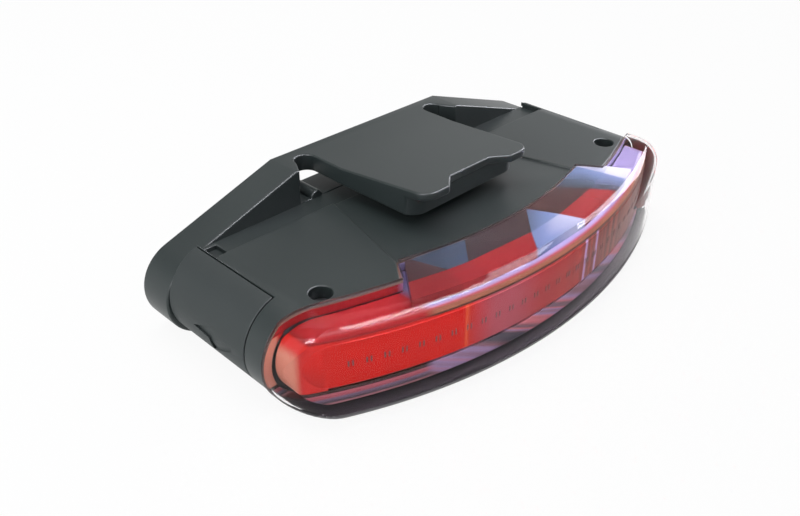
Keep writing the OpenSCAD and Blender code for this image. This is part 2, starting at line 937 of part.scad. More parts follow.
// Flat battery cell
module battery_cell() {
    color("silver")
        translate([-cell_l / 2, cell_back - cell_w, cell_z])
            cube([cell_l, cell_w, cell_h]);
}

// Foam pad that holds the cell on the floor
module battery_pad() {
    margin = 1;
    front = cell_back - cell_w + margin;
    color("darkslategray")
        translate([margin - cell_l / 2, front, wall])
            cube([cell_l - 2 * margin, frame_y - spigot_l - fit - front, pad_t]);
}

// Two short leads from the end of the cell up to the main board
module battery_leads() {
    z0 = cell_z + cell_h / 2;
    y0 = cell_back - cell_w + lead_in;
    rise = board_z - z0 - lead_bend;
    color("crimson")
        for (i = [0, 1])
            translate([-cell_l / 2, y0 + i * lead_gap, z0])
                union() {
                    rotate([0, -90, 0]) cylinder(d = lead_dia, h = lead_stub + eps);
                    translate([-lead_stub, 0, lead_bend])
                        rotate([90, 0, 0])
                            rotate([0, 0, 180])
                                rotate_extrude(angle = 90)
                                    translate([lead_bend, 0]) circle(d = lead_dia);
                    translate([-lead_out, 0, lead_bend - eps]) cylinder(d = lead_dia, h = rise + eps);
                }
}

// Round bead along the lower edge of the cover and the boot
module cover_bead() {
    translate([bead_x, bead_back, bead_z])
        rotate([90, 0, 0]) cylinder(r = bead_r, h = bead_back - bead_front);
}

// Rubber cover over the charging socket, with its hinge bead and its plug
module port_cover() {
    color(rubber)
        union() {
            end_shell(cover_r + fit, sleeve_r, cover_front, cover_back, cover_top_a,
                cover_base_a);
            cover_bead();
            intersection() {
                translate([-(end_x + cover_r + fit + plug_root), cover_mid - plug_w / 2,
                    socket_z - plug_h / 2])
                    cube([plug_d + 2 * plug_root, plug_w, plug_h]);
                end_shell(sleeve_r / 2, sleeve_r - cover_t / 2, cover_front, cover_back,
                    cover_top_a, cover_base_a);
            }
        }
}

// Rubber boot around the power button
module button_boot() {
    color(rubber)
        difference() {
            mirror([1, 0, 0]) {
                end_shell(cover_r, sleeve_r, cover_front, cover_back, cover_top_a, cover_base_a);
                cover_bead();
            }
            button_opening();
        }
}

// Rubber power button with its inner flange and post
module power_button() {
    face_x = half_l - fit;
    color([0.3, 0.33, 0.33])
        union() {
            translate([button_in, cover_mid, switch_z])
                rotate([90, 0, 90]) linear_extrude(face_x - button_in) pill(button_l, button_h);
            translate([button_in, cover_mid, switch_z])
                rotate([90, 0, 90])
                    linear_extrude(flange_t)
                        pill(button_l + 2 * flange_w, button_h + 2 * flange_w);
        }
}

// Side push switch under the right-hand end of the board
module switch_body() {
    color([0.15, 0.15, 0.16])
        difference() {
            translate([switch_x - switch_d, cover_mid - switch_w / 2, board_z - switch_h])
                cube([switch_d, switch_w, switch_h]);
            translate([switch_x - switch_d + switch_back, cover_mid, switch_z])
                rotate([0, 90, 0]) cylinder(d = plunger_dia + 2 * fit, h = far);
        }
}

// Plunger of the switch, which the button pushes
module switch_plunger() {
    inner_x = switch_x - switch_d + switch_back + button_travel + fit;
    color("ivory")
        translate([inner_x, cover_mid, switch_z])
            rotate([0, 90, 0]) cylinder(d = plunger_dia, h = button_in - inner_x);
}

// A pan head screw that points down, with its seat at the origin
module screw(l) {
    cross_w = 0.4;
    cross_d = 0.5;
    cross_l = 2 * head_dia / 3;
    translate([0, 0, -l]) cylinder(d = screw_dia, h = l + eps);
    difference() {
        cylinder(d = head_dia, h = head_h);
        for (a = [0, 90])
            rotate([0, 0, a])
                translate([-cross_l / 2, -cross_w / 2, head_h - cross_d])
                    cube([cross_l, cross_w, head_h]);
    }
}

// Two screws that hold the lens carrier under the top plate
module carrier_screws() {
    color(steel)
        for (s = [-1, 1])
            translate([s * well_x, well_y, seat_z]) screw(seat_t + ear_h - screw_spare);
}

// Two screws that hold the rear frame to the housing
module frame_screws() {
    color(steel)
        for (s = [-1, 1])
            translate([s * frame_screw_x, back_y - head_h - fit, frame_screw_z])
                rotate([-90, 0, 0]) screw(frame_screw_l);
}

// Two screws that hold the main board on its posts
module board_screws() {
    color(steel)
        for (s = [-1, 1])
            translate([s * post_x, post_y, board_z + board_t]) screw(board_t + board_screw_l);
}

rear_frame();
latch_tongue();
main_housing();
frame_seal();
lens_cover();
lens_seal();
lens_carrier();
light_bar();
reflector();
led_strip();
leds();
led_ribbon();
main_board();
board_chips();
charge_socket();
socket_tongue();
socket_contacts();
battery_cell();
battery_pad();
battery_leads();
port_cover();
button_boot();
power_button();
switch_body();
switch_plunger();
carrier_screws();
frame_screws();
board_screws();
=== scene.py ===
# %% [markdown]
# # A bicycle rear light
# This lesson dresses a small rear light: a dark moulded housing with a springy latch tongue on
# top, and a thick clear lens over a red light bar. The solids arrive as a fixed frame in metres,
# so every piece made here is already in the right place and only has to look right.

# %% Load the frame
import math

import bmesh
import bpy
from mathutils import Matrix, Vector


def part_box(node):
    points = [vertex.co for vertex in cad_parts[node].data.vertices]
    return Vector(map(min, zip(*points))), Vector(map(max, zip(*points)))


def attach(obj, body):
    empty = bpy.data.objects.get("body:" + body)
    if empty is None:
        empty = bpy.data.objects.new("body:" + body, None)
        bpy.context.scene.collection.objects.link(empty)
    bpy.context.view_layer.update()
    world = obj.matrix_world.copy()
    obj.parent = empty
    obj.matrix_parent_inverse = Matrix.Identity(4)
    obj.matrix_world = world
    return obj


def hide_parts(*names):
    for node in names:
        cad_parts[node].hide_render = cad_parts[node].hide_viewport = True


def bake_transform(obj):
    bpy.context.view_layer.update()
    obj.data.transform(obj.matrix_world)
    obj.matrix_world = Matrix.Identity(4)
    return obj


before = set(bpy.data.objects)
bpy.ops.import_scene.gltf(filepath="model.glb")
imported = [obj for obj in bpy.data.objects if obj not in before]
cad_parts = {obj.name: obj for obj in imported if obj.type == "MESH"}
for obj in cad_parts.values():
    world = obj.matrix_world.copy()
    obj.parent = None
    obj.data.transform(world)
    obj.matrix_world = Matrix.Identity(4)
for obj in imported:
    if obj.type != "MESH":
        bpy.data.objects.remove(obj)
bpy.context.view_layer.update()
scene = bpy.context.scene
MM = 0.001
print("nodes in the frame:", len(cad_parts))

# %% [markdown]
# ## The camera
# The photo looks down on the front left corner. A camera could be aimed by hand, but its angle and
# lens were worked out from known points of the light, so they are plain numbers here. The near
# clipping distance comes down, because the whole light is only a hand's width away.

# %% Place the camera
AZIMUTH = math.radians(-44.9)
ELEVATION = math.radians(32.7)
flat_reach = math.cos(ELEVATION)
towards_camera = Vector((math.sin(AZIMUTH) * flat_reach, -math.cos(AZIMUTH) * flat_reach,
                         math.sin(ELEVATION)))
camera_data = bpy.data.cameras.new("photo_camera")
camera_data.sensor_width = 36.0
camera_data.lens = 38.97
camera_data.clip_start = 5 * MM
camera = bpy.data.objects.new("photo_camera", camera_data)
camera.location = (-88.1 * MM, -76.5 * MM, 77.9 * MM)
camera.rotation_euler = (-towards_camera).to_track_quat("-Z", "Y").to_euler()
scene.collection.objects.link(camera)
scene.camera = camera
print("camera at", [round(v / MM, 1) for v in camera.location], "mm")

# %% [markdown]
# ## Small helpers
# Shader nodes are made many times below. One helper adds a node with its settings, and another sets
# constant values on a node's own sockets. The rest stand for what would repeat: an empty tree, a
# colour ramp, the kinds of ray that see the studio, and the step from a bmesh to an object.

# %% Node helpers
def add_node(tree, kind, **settings):
    node = tree.nodes.new(kind)
    for name, value in settings.items():
        setattr(node, name, value)
    return node


def fill_sockets(node, **values):
    for name, value in values.items():
        node.inputs[name.replace("_", " ")].default_value = value
    return node


def empty_tree(owner):
    owner.use_nodes = True
    owner.node_tree.nodes.clear()
    return owner.node_tree


def ramp_node(tree, stops):
    """A colour ramp with a stop for each position and colour."""
    node = add_node(tree, "ShaderNodeValToRGB")
    for position, colour in stops[1:-1]:
        node.color_ramp.elements.new(position).color = (*colour, 1)
    for end in (0, -1):
        node.color_ramp.elements[end].position = stops[end][0]
        node.color_ramp.elements[end].color = (*stops[end][1], 1)
    return node


def rays_that_see(tree):
    """1 for rays from the camera, from a reflection or through clear plastic, otherwise 0."""
    rays = add_node(tree, "ShaderNodeLightPath")
    total = rays.outputs["Is Camera Ray"]
    for kind in ("Is Glossy Ray", "Is Transmission Ray"):
        larger = add_node(tree, "ShaderNodeMath", operation="MAXIMUM")
        tree.links.new(total, larger.inputs[0])
        tree.links.new(rays.outputs[kind], larger.inputs[1])
        total = larger.outputs[0]
    return total


# %% Mesh helper
def as_object(bm, name):
    """A new object in the scene with the bmesh's shape; the bmesh is used up."""
    mesh = bpy.data.meshes.new(name)
    bm.to_mesh(mesh)
    bm.free()
    made = bpy.data.objects.new(name, mesh)
    scene.collection.objects.link(made)
    return made


# %% [markdown]
# ## Studio light
# The photo is a product shot on white under soft light from above. The background is white at the
# horizon and grows darker overhead, as in a studio with a dark ceiling, and the camera, the
# reflections and the clear lens all see that same dome. What lights the object is a calm grey, so
# the white never washes out the dark plastic.

# %% World
scene.view_settings.view_transform = "Standard"
AMBIENT = 0.47
CEILING = 0.3
WHITE_BELOW, CEILING_ABOVE = 0.08, 0.6
world = bpy.data.worlds.new("studio")
scene.world = world
tree = empty_tree(world)
ambient = fill_sockets(add_node(tree, "ShaderNodeBackground"), Color=(0.94, 0.97, 1, 1),
                       Strength=AMBIENT)
direction = add_node(tree, "ShaderNodeTexCoord")
height = add_node(tree, "ShaderNodeSeparateXYZ")
dome = fill_sockets(add_node(tree, "ShaderNodeMapRange"), From_Min=WHITE_BELOW,
                    From_Max=CEILING_ABOVE, To_Min=1.0, To_Max=CEILING)
backdrop = fill_sockets(add_node(tree, "ShaderNodeBackground"), Color=(1, 1, 1, 1))
tree.links.new(direction.outputs["Generated"], height.inputs[0])
tree.links.new(height.outputs["Z"], dome.inputs["Value"])
tree.links.new(dome.outputs["Result"], backdrop.inputs["Strength"])
both = add_node(tree, "ShaderNodeMixShader")
tree.links.new(rays_that_see(tree), both.inputs[0])
tree.links.new(ambient.outputs[0], both.inputs[1])
tree.links.new(backdrop.outputs[0], both.inputs[2])
tree.links.new(both.outputs[0], add_node(tree, "ShaderNodeOutputWorld").inputs[0])
print("ambient level", AMBIENT, "and ceiling", CEILING)

# %% [markdown]
# ## Lamps
# Two soft boxes light the whole scene. The other lamps work like the white cards of a product
# shoot: matte shading ignores them, so they only put highlights on glossy surfaces, above all on
# the lens.

# %% Lamps
def softbox(name, place_mm, aim_mm, size_mm, watts, tint=(1, 1, 1), lights_matte=True):
    data = bpy.data.lights.new(name, "AREA")
    data.shape = "RECTANGLE"
    data.size, data.size_y = (side * MM for side in size_mm)
    data.energy = watts
    data.color = tint
    lamp = bpy.data.objects.new(name, data)
    place = Vector(place_mm) * MM
    lamp.location = place
    lamp.rotation_euler = (Vector(aim_mm) * MM - place).to_track_quat("-Z", "Y").to_euler()
    lamp.visible_camera = False
    lamp.visible_diffuse = lights_matte
    scene.collection.objects.link(lamp)
    print(name, "at", place_mm, "mm,", watts, "W")


MIDDLE = (0, 0, 8)
LENS_TOP = (0, -20, 12)
softbox("key_softbox", (-20, 80, 360), MIDDLE, (300, 300), 0.68, (1.0, 0.99, 0.98))
softbox("left_fill", (-320, 20, 130), MIDDLE, (220, 220), 0.34, (0.96, 0.98, 1.0))
softbox("right_sheen", (250, 150, 140), MIDDLE, (200, 120), 0.02, lights_matte=False)
for name, place_mm, size_mm, watts in (("gleam_left", (42, -159, 258), (190, 60), 2.0),
                                       ("gleam_middle", (168, -65, 244), (150, 60), 0.7),
                                       ("gleam_right", (271, -9, 151), (70, 140), 1.0),
                                       ("gleam_end", (-258, -98, 182), (60, 60), 1.0)):
    softbox(name, place_mm, LENS_TOP, size_mm, watts, (0.92, 0.92, 1.0), lights_matte=False)

# %% [markdown]
# ## Floor
# The floor is a plain pale plane. To the camera it is almost pure white, with just enough of a
# matte shader mixed in to keep a soft shadow under the light.

# %% Floor
FLOOR_HALF = 3.0
SHADOW_SHARE = 0.08
bm = bmesh.new()
bmesh.ops.create_grid(bm, x_segments=1, y_segments=1, size=FLOOR_HALF)
floor = as_object(bm, "floor")
paper = bpy.data.materials.new("white_paper")
tree = empty_tree(paper)
matte = fill_sockets(add_node(tree, "ShaderNodeBsdfDiffuse"), Color=(0.92, 0.92, 0.92, 1))
glow = fill_sockets(add_node(tree, "ShaderNodeEmission"), Color=(1, 1, 1, 1), Strength=1.0)
share = add_node(tree, "ShaderNodeMath", operation="MULTIPLY")
share.inputs[1].default_value = 1 - SHADOW_SHARE
both = add_node(tree, "ShaderNodeMixShader")
tree.links.new(rays_that_see(tree), share.inputs[0])
tree.links.new(share.outputs[0], both.inputs[0])
tree.links.new(matte.outputs[0], both.inputs[1])
tree.links.new(glow.outputs[0], both.inputs[2])
tree.links.new(both.outputs[0], add_node(tree, "ShaderNodeOutputMaterial").inputs[0])
floor.data.materials.append(paper)
print("floor", 2 * FLOOR_HALF, "m wide")

# %% [markdown]
# ## A finish that several materials share
# Moulded parts are never one flat colour: the mould has a fine grain, and handling leaves slow
# changes of tone. One node group makes both from noise on object coordinates, and a material that
# uses it can set the size of either. The shaders themselves stay in the materials.

# %% Grain group
def make_grain_group():
    group = bpy.data.node_groups.new("moulded_grain", "ShaderNodeTree")
    for name, value in (("Grain Scale", 6000.0), ("Cloud Scale", 60.0)):
        socket = group.interface.new_socket(name, in_out="INPUT", socket_type="NodeSocketFloat")
        socket.default_value = value
    for name in ("Tone", "Height"):
        group.interface.new_socket(name, in_out="OUTPUT", socket_type="NodeSocketFloat")
    inside = add_node(group, "NodeGroupInput")
    outside = add_node(group, "NodeGroupOutput")
    place = add_node(group, "ShaderNodeTexCoord")
    grain = fill_sockets(add_node(group, "ShaderNodeTexNoise"), Detail=3.0, Roughness=0.6)
    cloud = fill_sockets(add_node(group, "ShaderNodeTexNoise"), Detail=4.0, Roughness=0.55)
    blend = add_node(group, "ShaderNodeMix", data_type="FLOAT")
    blend.inputs["Factor"].default_value = 0.35
    for noise, scale in ((grain, "Grain Scale"), (cloud, "Cloud Scale")):
        group.links.new(place.outputs["Object"], noise.inputs["Vector"])
        group.links.new(inside.outputs[scale], noise.inputs["Scale"])
    group.links.new(cloud.outputs["Fac"], blend.inputs["A"])
    group.links.new(grain.outputs["Fac"], blend.inputs["B"])
    group.links.new(blend.outputs["Result"], outside.inputs["Tone"])
    group.links.new(grain.outputs["Fac"], outside.inputs["Height"])
    return group


GRAIN = make_grain_group()
print("shared group:", GRAIN.name)


# %% Material maker
def grained(name, low, high, rough=(0.4, 0.5), grain=6000.0, cloud=60.0, depth_mm=0.01, **plain):
    """A material whose colour runs from low to high and whose surface has a fine grain."""
    material = bpy.data.materials.new(name)
    tree = empty_tree(material)
    finish = add_node(tree, "ShaderNodeGroup", node_tree=GRAIN)
    fill_sockets(finish, Grain_Scale=grain, Cloud_Scale=cloud)
    colour = ramp_node(tree, ((0.3, low), (0.7, high)))
    gloss = fill_sockets(add_node(tree, "ShaderNodeMapRange"), To_Min=rough[0], To_Max=rough[1])
    bump = fill_sockets(add_node(tree, "ShaderNodeBump"), Strength=0.6, Distance=depth_mm * MM)
    shader = fill_sockets(add_node(tree, "ShaderNodeBsdfPrincipled"), **plain)
    tree.links.new(finish.outputs["Tone"], colour.inputs["Fac"])
    tree.links.new(finish.outputs["Tone"], gloss.inputs["Value"])
    tree.links.new(finish.outputs["Height"], bump.inputs["Height"])
    tree.links.new(colour.outputs["Color"], shader.inputs["Base Color"])
    tree.links.new(gloss.outputs["Result"], shader.inputs["Roughness"])
    tree.links.new(bump.outputs["Normal"], shader.inputs["Normal"])
    tree.links.new(shader.outputs[0], add_node(tree, "ShaderNodeOutputMaterial").inputs[0])
    return material


# %% [markdown]
# ## Plastics and rubbers
# The housing is satin nylon with a faint green cast. The cover and the button are softer and a
# little rougher. All are dark, so their specular level is low: the white studio would otherwise
# lift them to grey.

# %% Dark finishes
housing_plastic = grained("housing_plastic", (0.023, 0.032, 0.032), (0.03, 0.04, 0.04),
                          rough=(0.34, 0.44), Specular_IOR_Level=0.38)
soft_rubber = grained("soft_rubber", (0.025, 0.033, 0.033), (0.033, 0.042, 0.042),
                      rough=(0.5, 0.62), grain=4500.0, Specular_IOR_Level=0.35)
button_rubber = grained("button_rubber", (0.07, 0.083, 0.083), (0.09, 0.104, 0.104),
                        rough=(0.5, 0.6), grain=4500.0, Specular_IOR_Level=0.35)
seal_rubber = grained("seal_rubber", (0.05, 0.02, 0.014), (0.1, 0.042, 0.026), rough=(0.3, 0.45))

# %% [markdown]
# ## Red pieces behind the lens
# The light bar is red plastic, and the carrier that frames it is red too. Their colours also carry
# painted light: both are deepest red at the left and turn darker and browner towards the right as
# painted shade, with painted glints, highlights and reflections on top. One shared group says where a
# point lies on the light, in millimetres, and each red has its own ramps. At the bar's height the
# carrier takes the bar's own hues and painted light.

# %% Place group
def make_place_group():
    """Where a point lies on the light: along its length and up its height, both in millimetres."""
    group = bpy.data.node_groups.new("place_in_mm", "ShaderNodeTree")
    for name in ("Along", "Up"):
        group.interface.new_socket(name, in_out="OUTPUT", socket_type="NodeSocketFloat")
    outside = add_node(group, "NodeGroupOutput")
    place = add_node(group, "ShaderNodeTexCoord")
    larger = add_node(group, "ShaderNodeVectorMath", operation="SCALE")
    larger.inputs["Scale"].default_value = 1 / MM
    parts = add_node(group, "ShaderNodeSeparateXYZ")
    group.links.new(place.outputs["Object"], larger.inputs[0])
    group.links.new(larger.outputs[0], parts.inputs[0])
    group.links.new(parts.outputs["X"], outside.inputs["Along"])
    group.links.new(parts.outputs["Z"], outside.inputs["Up"])
    return group


PLACE = make_place_group()
print("shared group:", PLACE.name)


# %% Hues and painted light along the bar
HUES_END = 40.0


def make_bar_hues_and_light():
    """The bar's colour along its length, much of it painted light: clear red, painted glints, a pale
    painted reflection, thin painted highlight lines and brown streaks of painted shade.
    """
    group = bpy.data.node_groups.new("bar_hues_and_painted_light", "ShaderNodeTree")
    group.interface.new_socket("Hue", in_out="OUTPUT", socket_type="NodeSocketColor")
    outside = add_node(group, "NodeGroupOutput")
    place = add_node(group, "ShaderNodeGroup", node_tree=PLACE)
    along = fill_sockets(add_node(group, "ShaderNodeMapRange"), From_Min=-HUES_END, From_Max=HUES_END)
    pale_red, brown, line = (0.2, 0.04, 0.05), (0.1, 0.018, 0.012), (0.26, 0.2, 0.36)
    # The peach tip at the left end and the thin orange line near -17.5 mm are painted glints. The pale
    # patch is a painted reflection and the thin lavender lines are painted highlights. The red that
    # darkens to brown towards the right is painted shade.
    reds = ramp_node(group, [((x + HUES_END) / (2 * HUES_END), hue) for x, hue in (
        (-40, (0.34, 0.13, 0.09)), (-39.3, (0.34, 0.13, 0.09)), (-38.8, (0.28, 0.012, 0.01)),
        (-34, (0.28, 0.008, 0.005)), (-17.8, (0.26, 0.005, 0.003)), (-17.6, (0.32, 0.05, 0.015)),
        (-17.3, (0.32, 0.05, 0.015)), (-17.1, (0.23, 0.008, 0.006)), (-13, pale_red), (-9, pale_red),
        (-4, (0.17, 0.016, 0.016)), (6.7, (0.14, 0.014, 0.01)), (6.9, line), (7.1, line),
        (7.3, brown), (9.9, brown), (10.1, line), (10.3, line), (10.5, brown),
        (20, (0.085, 0.022, 0.014)), (40, (0.09, 0.03, 0.02)))])
    # Noise streaks that lighten and darken the right half: painted shade and reflection.
    noise = fill_sockets(add_node(group, "ShaderNodeTexNoise", noise_dimensions="1D"), Scale=0.9,
                         Detail=3.0)
    painted_streak_shades = fill_sockets(add_node(group, "ShaderNodeMapRange"), From_Min=0.35, From_Max=0.65,
                          To_Min=0.4, To_Max=1.5)
    to_right = fill_sockets(add_node(group, "ShaderNodeMapRange"), From_Min=0.0, From_Max=14.0)
    share = add_node(group, "ShaderNodeMix", data_type="FLOAT")
    share.inputs["A"].default_value = 1.0
    streaked = add_node(group, "ShaderNodeVectorMath", operation="SCALE")
    for target in (along.inputs["Value"], noise.inputs["W"], to_right.inputs["Value"]):
        group.links.new(place.outputs["Along"], target)
    group.links.new(along.outputs["Result"], reds.inputs["Fac"])
    group.links.new(noise.outputs["Fac"], painted_streak_shades.inputs["Value"])
    group.links.new(to_right.outputs["Result"], share.inputs["Factor"])
    group.links.new(painted_streak_shades.outputs["Result"], share.inputs["B"])
    group.links.new(reds.outputs["Color"], streaked.inputs[0])
    group.links.new(share.outputs["Result"], streaked.inputs["Scale"])
    group.links.new(streaked.outputs[0], outside.inputs["Hue"])
    return group


BAR_HUES_AND_LIGHT = make_bar_hues_and_light()
print("shared group:", BAR_HUES_AND_LIGHT.name)


# %% Light bar finish
def light_bar_red_and_painted_light():
    material = bpy.data.materials.new("light_bar_red_and_painted_light")
    tree = empty_tree(material)
    # The base colour is the bar's red with its painted glints, reflections and shade.
    hues = add_node(tree, "ShaderNodeGroup", node_tree=BAR_HUES_AND_LIGHT)
    shader = fill_sockets(add_node(tree, "ShaderNodeBsdfPrincipled"), Roughness=0.3,
                          Specular_IOR_Level=0.05)
    tree.links.new(hues.outputs["Hue"], shader.inputs["Base Color"])
    tree.links.new(shader.outputs[0], add_node(tree, "ShaderNodeOutputMaterial").inputs[0])
    return material


bar_red = light_bar_red_and_painted_light()
print("bar finish:", bar_red.name)


# %% Carrier finish
CARRIER_TOP = 16.0
BAR_MIDDLE, BAR_HALF = 8.45, 3.65
PAINTED_BANDS_END, CALM_START = -23.5, -22.0
PATCH_SLANT = 2.2


def carrier_painted_bands():
    """Bands over the height, painted reflections and painted shade: thin lines at the left end,
    calmer bands along the rest, and the bar's hues and painted light beside the bar.
    """
    material = bpy.data.materials.new("carrier_red_and_painted_light")
    tree = empty_tree(material)
    place = add_node(tree, "ShaderNodeGroup", node_tree=PLACE)
    up = fill_sockets(add_node(tree, "ShaderNodeMapRange"), From_Max=CARRIER_TOP)
    # Left end: the thin bands below the bar and the dark line above it are painted reflections and
    # shade.
    left = ramp_node(tree, [(z / CARRIER_TOP, tone) for z, tone in (
        (0, (0.05, 0.026, 0.03)), (2.0, (0.1, 0.03, 0.03)), (2.5, (0.28, 0.12, 0.13)),
        (2.75, (0.04, 0.03, 0.036)), (3.3, (0.1, 0.08, 0.12)), (3.6, (0.2, 0.04, 0.05)),
        (4.1, (0.26, 0.07, 0.09)), (4.25, (0.02, 0.012, 0.01)), (4.7, (0.03, 0.014, 0.012)),
        (12.1, (0.26, 0.008, 0.006)), (12.3, (0.11, 0.008, 0.008)), (12.7, (0.16, 0.008, 0.009)),
        (16, (0.14, 0.008, 0.012)))])
    # Rest: the dark foot is painted shade. The bronze band is a painted reflection and the lavender top
    # is a painted highlight.
    rest = ramp_node(tree, [(z / CARRIER_TOP, tone) for z, tone in (
        (0, (0.02, 0.02, 0.024)), (2.2, (0.035, 0.03, 0.038)), (3.2, (0.07, 0.036, 0.042)),
        (4.7, (0.11, 0.026, 0.026)), (12.1, (0.02, 0.008, 0.006)), (12.3, (0.02, 0.008, 0.006)),
        (12.4, (0.15, 0.055, 0.03)), (12.85, (0.14, 0.05, 0.03)), (13.05, (0.2, 0.03, 0.04)),
        (13.3, (0.17, 0.14, 0.27)), (16, (0.2, 0.17, 0.32)))])
    slant = add_node(tree, "ShaderNodeMath", operation="MULTIPLY_ADD")
    slant.inputs[1].default_value = PATCH_SLANT
    noise = fill_sockets(add_node(tree, "ShaderNodeTexNoise", noise_dimensions="1D"), Scale=0.16,
                         Detail=1.0)
    # Streaky violet and pink patches below the bar: painted reflections.
    painted_reflection_patches = ramp_node(tree, ((0.36, (0.04, 0.036, 0.046)), (0.44, (0.13, 0.06, 0.07)),
                               (0.52, (0.18, 0.13, 0.22)), (0.6, (0.3, 0.08, 0.09)),
                               (0.66, (0.08, 0.05, 0.06))))
    below = add_node(tree, "ShaderNodeMath", operation="LESS_THAN")
    below.inputs[1].default_value = BAR_MIDDLE - BAR_HALF
    patched = add_node(tree, "ShaderNodeMix", data_type="RGBA")
    to_rest = fill_sockets(add_node(tree, "ShaderNodeMapRange"), From_Min=PAINTED_BANDS_END, From_Max=CALM_START)
    both = add_node(tree, "ShaderNodeMix", data_type="RGBA")
    beside = add_node(tree, "ShaderNodeMath", operation="COMPARE")
    beside.inputs[1].default_value, beside.inputs[2].default_value = BAR_MIDDLE, BAR_HALF
    hues = add_node(tree, "ShaderNodeGroup", node_tree=BAR_HUES_AND_LIGHT)
    whole = add_node(tree, "ShaderNodeMix", data_type="RGBA")
    shader = fill_sockets(add_node(tree, "ShaderNodeBsdfPrincipled"), Roughness=0.3,
                          Specular_IOR_Level=0.1)
    for target in (up.inputs["Value"], slant.inputs[0], below.inputs[0], beside.inputs[0]):
        tree.links.new(place.outputs["Up"], target)
    for target in (slant.inputs[2], to_rest.inputs["Value"]):
        tree.links.new(place.outputs["Along"], target)
    for tones, target in ((left, both.inputs["A"]), (rest, patched.inputs["A"])):
        tree.links.new(up.outputs["Result"], tones.inputs["Fac"])
        tree.links.new(tones.outputs["Color"], target)
    tree.links.new(slant.outputs[0], noise.inputs["W"])
    tree.links.new(noise.outputs["Fac"], painted_reflection_patches.inputs["Fac"])
    tree.links.new(below.outputs[0], patched.inputs["Factor"])
    tree.links.new(painted_reflection_patches.outputs["Color"], patched.inputs["B"])
    tree.links.new(to_rest.outputs["Result"], both.inputs["Factor"])
    tree.links.new(patched.outputs["Result"], both.inputs["B"])
    tree.links.new(beside.outputs[0], whole.inputs["Factor"])
    tree.links.new(both.outputs["Result"], whole.inputs["A"])
    tree.links.new(hues.outputs["Hue"], whole.inputs["B"])
    tree.links.new(whole.outputs["Result"], shader.inputs["Base Color"])
    tree.links.new(shader.outputs[0], add_node(tree, "ShaderNodeOutputMaterial").inputs[0])
    return material


carrier_red_and_painted_light = carrier_painted_bands()
print("carrier finish:", carrier_red_and_painted_light.name)

# %% [markdown]
# ## Bright facets
# The reflector under the top window is vacuum coated, and its facets carry painted reflections that
# shift in hue from facet to facet: brown, teal, blue and almost white. Each corner of a facet carries
# a number for its gleam, so the painted reflection runs across the facet. Each facet carries one for
# how much painted red reflection of the bar it shows, strongest along the front edge.

# %% Facet finish
def facet_painted_reflections():
    material = bpy.data.materials.new("facet_painted_reflections")
    tree = empty_tree(material)
    finish = add_node(tree, "ShaderNodeGroup", node_tree=GRAIN)
    fill_sockets(finish, Grain_Scale=3000.0, Cloud_Scale=180.0)
    gleam = add_node(tree, "ShaderNodeAttribute", attribute_name="gleam")
    hue = ramp_node(tree, ((0, (0.024, 0.014, 0.01)), (0.25, (0.03, 0.033, 0.037)),
                           (0.45, (0.05, 0.07, 0.11)), (0.7, (0.16, 0.22, 0.4)),
                           (1, (0.72, 0.72, 0.86))))
    red_reflection = add_node(tree, "ShaderNodeAttribute", attribute_name="red_reflection")
    reddened = add_node(tree, "ShaderNodeMix", data_type="RGBA")
    reddened.inputs["B"].default_value = (0.24, 0.016, 0.018, 1)
    gloss = fill_sockets(add_node(tree, "ShaderNodeMapRange"), To_Min=0.16, To_Max=0.28)
    shader = fill_sockets(add_node(tree, "ShaderNodeBsdfPrincipled"), Metallic=0.6,
                          Specular_IOR_Level=0.2)
    tree.links.new(gleam.outputs["Fac"], hue.inputs["Fac"])
    tree.links.new(red_reflection.outputs["Fac"], reddened.inputs["Factor"])
    tree.links.new(hue.outputs["Color"], reddened.inputs["A"])
    tree.links.new(reddened.outputs["Result"], shader.inputs["Base Color"])
    tree.links.new(finish.outputs["Tone"], gloss.inputs["Value"])
    tree.links.new(gloss.outputs["Result"], shader.inputs["Roughness"])
    tree.links.new(shader.outputs[0], add_node(tree, "ShaderNodeOutputMaterial").inputs[0])
    return material


facet_metal = facet_painted_reflections()
print("facet finish:", facet_metal.name)

# %% [markdown]
# ## Clear lens finish
# The lens is polished polycarbonate. Rays that carry light to the red pieces pass straight through
# it, because a real lens throws no hard shadow on what lies behind it. The bending of light is kept
# weak: a strong one fills the curved end with the white room and hides what is inside. A thin coat
# gives the gloss instead. Three more finishes tint parts of the skin: the underside is dark as
# painted shade, the joint is dark as painted shadow, and the right-hand end is red.

# %% Lens finish
def clear_polycarbonate():
    material = bpy.data.materials.new("clear_polycarbonate")
    tree = empty_tree(material)
    finish = add_node(tree, "ShaderNodeGroup", node_tree=GRAIN)
    fill_sockets(finish, Grain_Scale=900.0, Cloud_Scale=90.0)
    gloss = fill_sockets(add_node(tree, "ShaderNodeMapRange"), To_Min=0.0, To_Max=0.03)
    shader = fill_sockets(add_node(tree, "ShaderNodeBsdfPrincipled"), Transmission_Weight=1.0,
                          Base_Color=(0.97, 0.95, 0.96, 1), IOR=1.04, Coat_Weight=0.1,
                          Coat_Roughness=0.03)
    passing = fill_sockets(add_node(tree, "ShaderNodeBsdfTransparent"), Color=(0.93, 0.9, 0.9, 1))
    rays = add_node(tree, "ShaderNodeLightPath")
    both = add_node(tree, "ShaderNodeMixShader")
    tree.links.new(finish.outputs["Tone"], gloss.inputs["Value"])
    tree.links.new(gloss.outputs["Result"], shader.inputs["Roughness"])
    tree.links.new(rays.outputs["Is Shadow Ray"], both.inputs[0])
    tree.links.new(shader.outputs[0], both.inputs[1])
    tree.links.new(passing.outputs[0], both.inputs[2])
    tree.links.new(both.outputs[0], add_node(tree, "ShaderNodeOutputMaterial").inputs[0])
    return material


